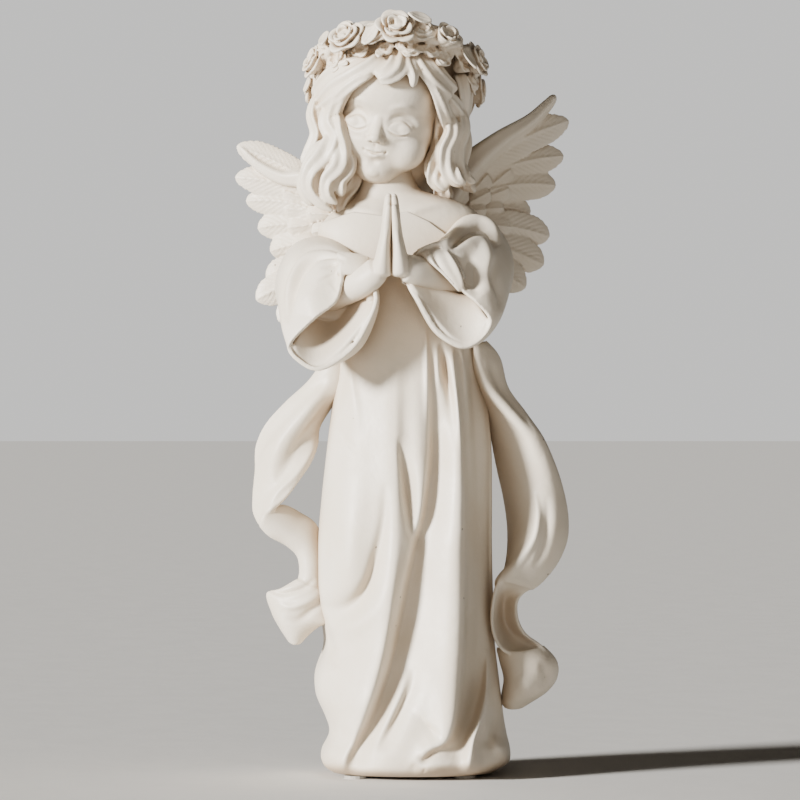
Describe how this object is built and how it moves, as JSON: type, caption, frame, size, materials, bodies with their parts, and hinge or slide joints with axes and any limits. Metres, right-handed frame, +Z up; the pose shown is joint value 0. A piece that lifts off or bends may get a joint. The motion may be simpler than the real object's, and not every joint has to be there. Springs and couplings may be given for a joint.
{
  "type": "angel figurine",
  "caption": "Standing child angel in matte ivory resin, hands joined in prayer, with spread feathered wings, a rose wreath, bell sleeves, long pleated gown and flying sashes.",
  "frame": {"origin": "centre of the figure's bounding box, on the plane that the foot pads rest on", "axes": "+Z up the figure, -Y the way it faces, +X towards the figure's own left"},
  "size_m": [0.174, 0.1222, 0.38],
  "materials": {
    "resin": "cast polyresin, matte to satin ivory, with warm shading in the recesses",
    "steel_pin": "drawn wire, plain",
    "stopper": "moulded, matte",
    "foot_pad": "matte"
  },
  "bodies": {
    "root": {"gown": "resin", "bust": "resin", "head": "resin", "hair_cap": "resin", "tress_right": "resin", "tress_left": "resin", "tress_back": "resin", "wreath_band": "resin", "rose_1": "resin", "rose_2": "resin", "rose_3": "resin", "rose_4": "resin", "rose_5": "resin", "rose_6": "resin", "rose_7": "resin", "rose_8": "resin", "rose_9": "resin", "rose_10": "resin", "leaf_1": "resin", "leaf_2": "resin", "leaf_3": "resin", "leaf_4": "resin", "leaf_5": "resin", "leaf_6": "resin", "leaf_7": "resin", "leaf_8": "resin", "leaf_9": "resin", "leaf_10": "resin", "sleeve_right": "resin", "hand_right": "resin", "wing_right": "resin", "sash_right": "resin", "sleeve_left": "resin", "hand_left": "resin", "wing_left": "resin", "sash_left": "resin", "neck_pin": "steel_pin", "wing_pin_right_1": "steel_pin", "wing_pin_right_2": "steel_pin", "wing_pin_left_1": "steel_pin", "wing_pin_left_2": "steel_pin", "sash_pin_right": "steel_pin", "sash_pin_left": "steel_pin", "base_plug": "stopper", "foot_pad_1": "foot_pad", "foot_pad_2": "foot_pad", "foot_pad_3": "foot_pad", "foot_pad_4": "foot_pad"}
  },
  "joints": []
}
